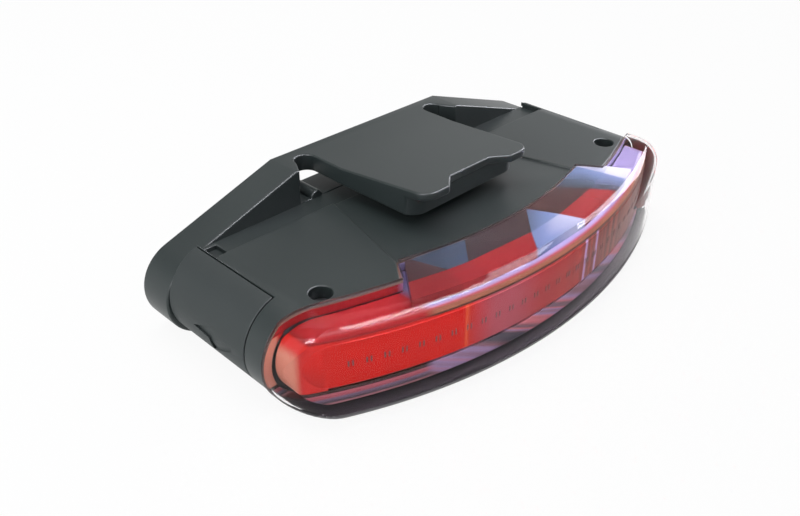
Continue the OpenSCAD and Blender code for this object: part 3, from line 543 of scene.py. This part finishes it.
lens_clear = clear_polycarbonate()
underside_painted_shade = grained("underside_painted_shade", (0.03, 0.026, 0.031), (0.046, 0.038, 0.044))
rim_shadow = grained("rim_shadow", (0.016, 0.01, 0.01), (0.03, 0.018, 0.016))
end_red = grained("end_red", (0.22, 0.016, 0.014), (0.32, 0.05, 0.045), rough=(0.3, 0.4),
                  cloud=160.0)
LENS_FINISHES = (lens_clear, underside_painted_shade, rim_shadow, end_red)
print("lens finishes:", *(finish.name for finish in LENS_FINISHES))

# %% [markdown]
# ## Pieces inside
# Boards, chips, screws and the cell hardly show, but the part comes apart, so each has its own
# finish. They keep their solids and only get a material. The nodes that are drawn anew further down
# get their finish here too.

# %% Inner finishes
plated_steel = grained("plated_steel", (0.42, 0.42, 0.43), (0.56, 0.56, 0.57), rough=(0.24, 0.36),
                       Metallic=1.0)
dark_steel = grained("dark_steel", (0.05, 0.05, 0.052), (0.09, 0.09, 0.092), rough=(0.3, 0.42),
                     Metallic=0.9)
plated_brass = grained("plated_brass", (0.7, 0.48, 0.16), (0.85, 0.62, 0.26), rough=(0.2, 0.3),
                       Metallic=1.0)
foil_pouch = grained("foil_pouch", (0.5, 0.5, 0.52), (0.64, 0.64, 0.66), rough=(0.3, 0.42),
                     grain=1200.0, depth_mm=0.03, Metallic=0.9)
black_mould = grained("black_mould", (0.014, 0.014, 0.015), (0.028, 0.028, 0.03), rough=(0.45, 0.6))
closed_foam = grained("closed_foam", (0.02, 0.02, 0.02), (0.05, 0.05, 0.05), rough=(0.8, 0.95),
                      grain=2500.0, depth_mm=0.1)
board_mask = grained("board_mask", (0.012, 0.09, 0.045), (0.022, 0.14, 0.07), rough=(0.25, 0.35))
strip_mask = grained("strip_mask", (0.7, 0.7, 0.66), (0.82, 0.82, 0.78))
phosphor = grained("phosphor", (0.68, 0.46, 0.12), (0.8, 0.6, 0.22), rough=(0.3, 0.4))
chip_shadow = grained("chip_shadow", (0.03, 0.003, 0.003), (0.06, 0.005, 0.005))
polyimide = grained("polyimide", (0.45, 0.22, 0.03), (0.6, 0.34, 0.07), rough=(0.25, 0.35))
wire_red = grained("wire_red", (0.42, 0.012, 0.012), (0.55, 0.03, 0.025), rough=(0.35, 0.45))
ivory_mould = grained("ivory_mould", (0.7, 0.68, 0.6), (0.8, 0.78, 0.7))

FINISHES = {
    "rear_frame": housing_plastic, "latch_tongue": housing_plastic, "main_housing": housing_plastic,
    "frame_seal": seal_rubber, "lens_seal": seal_rubber, "lens_cover": lens_clear,
    "lens_carrier": carrier_red_and_painted_light, "light_bar": bar_red, "reflector": facet_metal,
    "led_strip": strip_mask, "leds": phosphor, "led_ribbon": polyimide, "main_board": board_mask,
    "board_chips": black_mould, "charge_socket": plated_steel, "socket_tongue": black_mould,
    "socket_contacts": plated_brass, "battery_cell": foil_pouch, "battery_pad": closed_foam,
    "battery_leads": wire_red, "port_cover": soft_rubber, "button_boot": soft_rubber,
    "power_button": button_rubber, "switch_body": black_mould, "switch_plunger": ivory_mould,
    "carrier_screws": dark_steel, "frame_screws": dark_steel, "board_screws": plated_steel,
}
for node_name, finish in FINISHES.items():
    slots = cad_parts[node_name].data.materials
    slots.clear()
    slots.append(finish)
print("finishes on", len(FINISHES), "nodes")

# %% [markdown]
# ## Rounded edges
# No moulded edge is perfectly sharp, and the thin bright line along each edge is what makes plastic
# look real. A copy of a solid is welded, its flat triangles are joined to larger faces, and its
# sharp edges get a small bevel. The solid itself stays as it is for collision.

# %% Rounding helpers
WELD = 0.002 * MM
FLAT = math.radians(0.6)
SHARP = math.radians(24)
SMOOTH_BELOW = math.radians(40)


def join_flats(bm):
    bmesh.ops.remove_doubles(bm, verts=bm.verts, dist=WELD)
    bmesh.ops.dissolve_limit(bm, angle_limit=FLAT, verts=bm.verts[:], edges=bm.edges[:])


def welded_copy(node_name):
    bm = bmesh.new()
    bm.from_mesh(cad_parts[node_name].data)
    join_flats(bm)
    return bm


def round_edges(bm, radius_mm, wanted=lambda edge: True):
    """Bevels the sharp outer edges that are wanted and returns how many there were."""
    edges = [e for e in bm.edges if len(e.link_faces) == 2 and e.is_convex
             and e.calc_face_angle(0) > SHARP and wanted(e)]
    bmesh.ops.bevel(bm, geom=edges, offset=radius_mm * MM, offset_type="OFFSET", affect="EDGES",
                    segments=3, profile=0.5, material=-1, clamp_overlap=False)
    return len(edges)


def finished(bm, name, material, body, slot, *stands_for):
    """A smooth piece with its material, on its body, with the nodes that it stands for hidden. The slot
    argument is not used.
    """
    piece = as_object(bm, name)
    mesh = piece.data
    mesh.materials.append(material)
    mesh.shade_smooth()
    mesh.set_sharp_from_angle(angle=SMOOTH_BELOW)
    if body:
        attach(piece, body)
    if stands_for:
        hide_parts(*stands_for)
    print(name, "has", len(mesh.polygons), "faces")
    return piece


def flatten_shading(piece):
    """Keeps flat faces flat beside their rounded edges."""
    normals = piece.modifiers.new("flat_faces", "WEIGHTED_NORMAL")
    normals.keep_sharp = True


# %% [markdown]
# ## Housing
# Only the edges that show get a bevel. The cavity stays as it is, and so does the joint to the rear
# frame, where the two mouldings meet face to face. At the corners of the sunken panel a few level
# edges are too short for the bevel, so they are collapsed first.

# %% Main housing
CAVITY_LOW = Vector((-36, -12, 1.3)) * MM
CAVITY_HIGH = Vector((36, 15.6, 13.2)) * MM
PANEL_Z = 14.5 * MM
PANEL_CORNER_FROM, PANEL_CORNER_TO = 19 * MM, 21 * MM
SHORT_EDGE = 0.35 * MM


def on_the_outside(edge):
    """True for an edge that shows: outside the cavity and not on the joint to the rear frame."""
    middle = (edge.verts[0].co + edge.verts[1].co) / 2
    inside = all(low < value < high for low, value, high in zip(CAVITY_LOW, middle, CAVITY_HIGH))
    return not inside and middle.y < CAVITY_HIGH.y


def at_panel_corner(edge):
    """True for a short level edge at a corner of the panel."""
    first, second = (vert.co for vert in edge.verts)
    level = abs(first.z - second.z) < WELD and min(first.z, second.z) > PANEL_Z - WELD
    in_corner = PANEL_CORNER_FROM < abs(first.x) < PANEL_CORNER_TO
    return level and in_corner and edge.calc_length() < SHORT_EDGE


bm = welded_copy("main_housing")
bmesh.ops.collapse(bm, edges=[e for e in bm.edges if at_panel_corner(e)])
count = round_edges(bm, 0.2, on_the_outside)
housing = finished(bm, "housing_shell", housing_plastic, "light", "housing", "main_housing")
flatten_shading(housing)
print("rounded", count, "edges")

# %% [markdown]
# ## Arch and tongue
# On the real light the arched back and the springy tongue are one moulding, so no seam shows at the
# root. The two solids are only a hair apart: the root of the tongue's copy is pushed into the arch,
# a boolean joins the copies, and one bevel then runs over both.

# %% Join arch and tongue
def combined(base, tool, operation):
    """The two objects as one bmesh; both objects are used up."""
    joint = base.modifiers.new("combine", "BOOLEAN")
    joint.operation = operation
    joint.solver = "EXACT"
    joint.object = tool
    ready = base.evaluated_get(bpy.context.evaluated_depsgraph_get())
    bm = bmesh.new()
    bm.from_mesh(ready.to_mesh())
    ready.to_mesh_clear()
    for used in (base, tool):
        mesh = used.data
        bpy.data.objects.remove(used)
        bpy.data.meshes.remove(mesh)
    join_flats(bm)
    return bm


ROOT_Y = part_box("latch_tongue")[1][1]
ROOT_PUSH = 0.5 * MM
tongue_copy = welded_copy("latch_tongue")
for vert in tongue_copy.verts:
    if vert.co.y > ROOT_Y - WELD:
        vert.co.y += ROOT_PUSH
bm = combined(as_object(welded_copy("rear_frame"), "arch_blank"),
              as_object(tongue_copy, "tongue_blank"), "UNION")
count = round_edges(bm, 0.3)
arch = finished(bm, "arch_and_tongue", housing_plastic, None, "housing", "rear_frame",
                "latch_tongue")
print("rounded", count, "edges")

# %% Flat faces and baked placement
flatten_shading(arch)
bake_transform(arch)

# %% [markdown]
# ## Rubber pieces
# The cover over the charging socket and the boot on the other end are soft mouldings with fine
# edges, and the button in the boot has a rounder one. The cover carries a sunken bolt, the usual
# sign for charging.

# %% Charging bolt
COVER_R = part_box("main_housing")[1][2] / 2
COVER_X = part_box("port_cover")[0][0] + COVER_R
COVER_Z = COVER_R
MARK_DEPTH = 0.3 * MM
MARK_TILT = math.radians(-6)
MARK_Y = 5.5 * MM
BOLT = ((4.4, 0.3), (-0.9, 2.5), (-0.9, 0.2), (-4.4, 1.5), (-4.4, 0.3), (0.9, -2.5), (0.9, -0.2))
bm = bmesh.new()
corners = [bm.verts.new((0, MARK_Y + along * MM, up * MM)) for along, up in BOLT]
bm.faces.new(corners)
bmesh.ops.triangulate(bm, faces=bm.faces[:])
bmesh.ops.subdivide_edges(bm, edges=bm.edges[:], cuts=5, use_grid_fill=True)
bottom = bmesh.ops.extrude_face_region(bm, geom=bm.faces[:])
deep = {v for v in bottom["geom"] if isinstance(v, bmesh.types.BMVert)}
for vert in bm.verts:
    reach = COVER_R - MARK_DEPTH if vert in deep else COVER_R + MARK_DEPTH
    turn = vert.co.z / COVER_R + MARK_TILT
    vert.co.x = COVER_X - reach * math.cos(turn)
    vert.co.z = COVER_Z + reach * math.sin(turn)
bmesh.ops.recalc_face_normals(bm, faces=bm.faces[:])
bolt_cutter = as_object(bm, "bolt_cutter")
print("bolt sunk", MARK_DEPTH / MM, "mm into the cover")

# %% Port cover
bm = welded_copy("port_cover")
round_edges(bm, 0.15)
bm = combined(as_object(bm, "cover_blank"), bolt_cutter, "DIFFERENCE")
cover = finished(bm, "socket_cover", soft_rubber, "cover", "cover_rubber", "port_cover")
flatten_shading(cover)

# %% Boot and button
for node_name, piece_name, finish, body, slot, radius in (
        ("button_boot", "button_surround", soft_rubber, "light", "cover_rubber", 0.15),
        ("power_button", "button_pad", button_rubber, "button", "button_rubber", 0.3)):
    bm = welded_copy(node_name)
    round_edges(bm, radius)
    flatten_shading(finished(bm, piece_name, finish, body, slot, node_name))

# %% [markdown]
# ## Lens
# The lens is a bar with round ends, bent to a wide arc and rounded along its front. It is drawn as
# one outline that is extruded ring by ring: along the sides, then round the front edge, where each
# ring is drawn in a little more. A bridge closes the front, and the whole skin gets a wall.

# %% Lines that lens and seal follow
lens_low, lens_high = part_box("lens_cover")
HALF_L = lens_high[0]
FRONT_Y = lens_low[1]
LENS_R = 82 * MM
SEAL = 0.5 * MM
TOP_R = 66 * MM
TOP_MID = FRONT_Y + 11.6 * MM
SIDE_R = 95 * MM
SIDE_X = HALF_L - 3.4 * MM
SIDE_Y = FRONT_Y + 16.6 * MM
WINDOW_HALF = 20 * MM
TAPER = 0.72
SEARCH_STEP = 0.02 * MM


def arc_line(x, mid, radius):
    return mid + radius - math.sqrt(radius ** 2 - x ** 2)


def joint_line(x):
    """Y of the housing's front edge at x."""
    x = abs(x)
    side_mid = SIDE_Y + math.sqrt(SIDE_R ** 2 - SIDE_X ** 2) - SIDE_R
    side = arc_line(min(x, SIDE_X), side_mid, SIDE_R)
    corner = arc_line(WINDOW_HALF, TOP_MID, TOP_R)
    if x <= WINDOW_HALF:
        return arc_line(x, TOP_MID, TOP_R)
    return max(side, corner - (x - WINDOW_HALF) / TAPER)


window_foot = WINDOW_HALF
while joint_line(window_foot + SEARCH_STEP) <= joint_line(window_foot):
    window_foot += SEARCH_STEP
print("window foot at", round(window_foot / MM, 2), "mm")


# %% Outline and rings
def bar_outline(bm, half_l, radius, middle_z, segments=64, cuts=75):
    """A bar with round ends in the X-Z plane, as one ring of edges.

    Corners lie on the kinks of the joint line. Each keeps its number in a layer, and its place and
    its way out from the bar's core are listed under that number.
    """
    upright = Matrix.Rotation(math.radians(90), 4, "X")
    half_step = Matrix.Rotation(math.pi / segments, 4, "Z")
    bmesh.ops.create_circle(bm, segments=segments, radius=radius, matrix=upright @ half_step)
    for vert in bm.verts:
        vert.co.x += math.copysign(half_l - radius, vert.co.x)
        vert.co.z += middle_z
    long_edges = [e for e in bm.edges if e.verts[0].co.x * e.verts[1].co.x < 0]
    bmesh.ops.subdivide_edges(bm, edges=long_edges, cuts=cuts)
    for above in (False, True):
        row = [v for v in bm.verts if (v.co.z > middle_z) == above]
        for kink in (-window_foot, -WINDOW_HALF, WINDOW_HALF, window_foot):
            min(row, key=lambda v: abs(v.co.x - kink)).co.x = kink
    number = bm.verts.layers.int.new("number")
    stations = []
    for vert in bm.verts:
        core_x = math.copysign(min(abs(vert.co.x), half_l - radius), vert.co.x)
        out = Vector((vert.co.x - core_x, 0, vert.co.z - middle_z)).normalized()
        vert[number] = len(stations)
        stations.append((vert.co.copy(), out))
    return number, stations


def next_ring(bm, edges, place):
    """Extrudes a ring of edges and puts each new corner where place says."""
    made = bmesh.ops.extrude_edge_only(bm, edges=edges)["geom"]
    fresh = {v for v in made if isinstance(v, bmesh.types.BMVert)}
    for vert in fresh:
        vert.co = place(vert)
    return [e for e in made if isinstance(e, bmesh.types.BMEdge) and set(e.verts) <= fresh]


def close_ring(bm, ring, number, stations):
    """Bridges the upper half of a ring to its lower half."""
    upper = [e for e in ring if all(stations[v[number]][1].z > 0 for v in e.verts)]
    lower = [e for e in ring if all(stations[v[number]][1].z < 0 for v in e.verts)]
    bmesh.ops.bridge_loops(bm, edges=upper + lower)


# %% Lens shell
LENS_END_R = (lens_high[2] - lens_low[2]) / 2
LENS_T = 0.4 * MM
ROUND_TOP, ROUND_END, ROUND_BASE = 3.8 * MM, 6 * MM, 2.6 * MM
ROUND_STEPS = 12
UNDERSIDE = 2.0 * MM
END_RIGHT = 38 * MM
FACES_DOWN, FACES_BACK = -0.3, 0.5


def front_round(out):
    """Rounding of the front edge where the outline faces the way out."""
    level = ROUND_TOP if out.z > 0 else ROUND_BASE
    return ROUND_END + (level - ROUND_END) * out.z ** 4


def rounded_front(at, out, share):
    """A ball rolls along the front edge: the point on it, from the side (0) to the front (1)."""
    radius = front_round(out)
    ball = at - out * radius
    ball.y = FRONT_Y + LENS_R - math.sqrt((LENS_R - radius) ** 2 - ball.x ** 2)
    lean = math.asin(ball.x / (LENS_R - radius))
    forward = Vector((math.sin(lean), -math.cos(lean), 0))
    return ball + radius * out.slerp(forward, share)


bm = bmesh.new()
number, stations = bar_outline(bm, HALF_L, LENS_END_R, LENS_END_R)
for vert in bm.verts:
    vert.co.y = joint_line(vert.co.x) - SEAL
ring = bm.edges[:]
for step in range(ROUND_STEPS + 1):
    share = step / ROUND_STEPS
    ring = next_ring(bm, ring, lambda v: rounded_front(*stations[v[number]], share))
close_ring(bm, ring, number, stations)
bmesh.ops.recalc_face_normals(bm, faces=bm.faces[:])
print("lens skin:", len(bm.faces), "faces")
bmesh.ops.solidify(bm, geom=bm.faces[:], thickness=LENS_T)
bm.normal_update()
end_centre = Vector((HALF_L - LENS_END_R, FRONT_Y + LENS_END_R + ROUND_END, LENS_END_R))
for face in bm.faces:
    middle = face.calc_center_median()
    finish = lens_clear
    # Painted shade on the underside and painted shadow on the back rim. The inside of the right-hand
    # end is red.
    if face.normal.z < FACES_DOWN and middle.z < UNDERSIDE:
        finish = underside_painted_shade
    elif face.normal.y > FACES_BACK and middle.y > joint_line(middle.x) - 2 * SEAL:
        finish = rim_shadow
    elif middle.x > END_RIGHT and face.normal.dot(middle - end_centre) < 0:
        finish = end_red
    face.material_index = LENS_FINISHES.index(finish)
lens = finished(bm, "clear_lens", lens_clear, "light", "lens", "lens_cover")
for finish in LENS_FINISHES[1:]:
    lens.data.materials.append(finish)

# %% [markdown]
# ## Seal
# The soft seal fills the joint between lens and housing. It is the same kind of outline, a hair
# smaller than its solid and with a thicker wall. Its front face, which only shows through the lens,
# takes the carrier's red with its painted bands of reflection and shade.

# %% Seal line
seal_low, seal_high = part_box("lens_seal")
HAIR = 0.02 * MM
SEAL_WALL = 1.2 * MM
SEAL_END_R = (seal_high[2] - seal_low[2]) / 2 - HAIR
bm = bmesh.new()
bar_outline(bm, seal_high[0] - HAIR, SEAL_END_R, SEAL_END_R + HAIR)
for vert in bm.verts:
    vert.co.y = joint_line(vert.co.x) - HAIR
next_ring(bm, bm.edges[:],
          lambda v: Vector((v.co.x, joint_line(v.co.x) - SEAL + HAIR, v.co.z)))
bmesh.ops.recalc_face_normals(bm, faces=bm.faces[:])
bmesh.ops.solidify(bm, geom=bm.faces[:], thickness=SEAL_WALL)
bm.normal_update()
for face in bm.faces:
    # Faces that look forward take the carrier's finish with its painted light.
    face.material_index = int(face.normal.y < -FACES_BACK)
gasket = finished(bm, "lens_gasket", seal_rubber, "light", "seal", "lens_seal")
gasket.data.materials.append(carrier_red_and_painted_light)

# %% [markdown]
# ## Facets under the window
# A folded strip of facets lies close under the window of the lens, on the ledges of the carrier. A
# grid with three rows of corners gives the strip, and columns that share a corner are merged into
# triangles. Their colours are painted reflections: some facets gleam as if they mirrored the white
# room, others are as dark as the ceiling, and those near the front take a painted red reflection of
# the bar.

# %% Faceted reflector
ARC_Y = FRONT_Y + LENS_R
ROW_REACH = (78.9 * MM, 75.4 * MM, 71.0 * MM)
ROW_Z = (14.85 * MM, 15.0 * MM, 15.15 * MM)
LEDGE_Z = 13.5 * MM
COLUMNS = ((-24.6, -22.3, -19.3), (-17.5, -16.5, -18.4), (-13.6, -13.15, -9.54),
           (-4.06, -1.07, 3.41), (7.57, 5.9, 3.41), (18.1, 15.6, 11.89), (22.5, 21.5, 20.0),
           (26.0, 24.0, 20.4))
# Painted reflection at the left and right corners of each facet, front row first.
GLEAMS = (((0.08, 0.08), (0.25, 0.3), (0.2, 0.15), (0.62, 0.85), (0.1, 0.12), (0.35, 0.75),
           (0.9, 1.0)),
          ((0.14, 0.2), (0.38, 0.45), (0.22, 0.12), (0.5, 0.75), (0.05, 0.1), (0.3, 0.72),
           (0.8, 0.95)))
# Share of painted red reflection of the bar for each facet, front row first.
PAINTED_RED_REFLECTION = ((0.7, 0.9, 0.95, 0.05, 0.9, 0.05, 0.0), (0.1, 0.0, 0.06, 0.0, 0.1, 0.0, 0.0))


def on_arc(x, z, reach):
    """The point at x and z on the arc with the radius reach round the middle of the lens's arc."""
    return Vector((x, ARC_Y - math.sqrt(reach ** 2 - x ** 2), z))


bm = bmesh.new()
bmesh.ops.create_grid(bm, x_segments=len(COLUMNS) - 1, y_segments=2, size=1)
gleam = bm.loops.layers.float.new("gleam")
red_reflection = bm.faces.layers.float.new("red_reflection")
for face in bm.faces:
    middle = face.calc_center_median()
    row, column = int(middle.y > 0), int((middle.x + 1) / 2 * (len(COLUMNS) - 1))
    for corner in face.loops:
        corner[gleam] = GLEAMS[row][column][int(corner.vert.co.x > middle.x)]
    face[red_reflection] = PAINTED_RED_REFLECTION[row][column]
for vert in bm.verts:
    column, row = round((vert.co.x + 1) / 2 * (len(COLUMNS) - 1)), round(vert.co.y + 1)
    vert.co = on_arc(COLUMNS[column][row] * MM, ROW_Z[row], ROW_REACH[row])
bmesh.ops.remove_doubles(bm, verts=bm.verts[:], dist=WELD)
lowered = bmesh.ops.extrude_face_region(bm, geom=bm.faces[:], use_keep_orig=True)
for vert in lowered["geom"]:
    if isinstance(vert, bmesh.types.BMVert):
        vert.co.z = LEDGE_Z
bmesh.ops.recalc_face_normals(bm, faces=bm.faces[:])
facets = finished(bm, "facet_mirror", facet_metal, "light", "reflector", "reflector")
facets.data.shade_flat()

# %% [markdown]
# ## Light bar
# The red bar has round ends and a small chamfer along its front. It is drawn like the lens, as an
# outline that is extruded ring by ring along the arc, and both ends of the tube are bridged.

# %% Light bar
BAR_HALF_L = 38.8 * MM
BAR_END_R = BAR_HALF * MM
BAR_CHAMFER = 0.35 * MM
BAR_REACH, BAR_BACK = 80.0 * MM, 78.5 * MM
bm = bmesh.new()
number, stations = bar_outline(bm, BAR_HALF_L, BAR_END_R, BAR_MIDDLE * MM)


def on_bar(vert, reach, drawn_in):
    at, out = stations[vert[number]]
    inset = at - out * drawn_in
    return on_arc(inset.x, inset.z, reach)


for vert in bm.verts:
    vert.co = on_bar(vert, BAR_BACK, 0)
back = bm.edges[:]
rim = next_ring(bm, back, lambda v: on_bar(v, BAR_REACH - BAR_CHAMFER, 0))
front = next_ring(bm, rim, lambda v: on_bar(v, BAR_REACH, BAR_CHAMFER))
for ring in (back, front):
    close_ring(bm, ring, number, stations)
bmesh.ops.recalc_face_normals(bm, faces=bm.faces[:])
finished(bm, "red_bar", bar_red, "light", "light_bar", "light_bar")

# %% [markdown]
# ## Strokes on the bar
# A row of paired dark strokes runs along the face of the bar at an even pitch. Two thin blocks per
# pair, set on the bar's front and turned with its curve, give those strokes.

# %% Paired strokes
PAIR_PITCH = 2.45 * MM
PAIR_COUNT = 29
STROKE = Vector((0.22, 0.08, 0.9)) * MM
STROKE_APART = 0.6 * MM
bm = bmesh.new()
for pair in range(PAIR_COUNT):
    for side in (-0.5, 0.5):
        along = (pair - (PAIR_COUNT - 1) / 2) * PAIR_PITCH + side * STROKE_APART
        turn = Matrix.Translation((0, ARC_Y, 0)) @ Matrix.Rotation(along / BAR_REACH, 4, "Z")
        block = turn @ Matrix.Translation((0, -BAR_REACH, BAR_MIDDLE * MM))
        bmesh.ops.create_cube(bm, size=1, matrix=block @ Matrix.Diagonal((*STROKE, 1)))
finished(bm, "chip_strokes", chip_shadow, "light", "led")
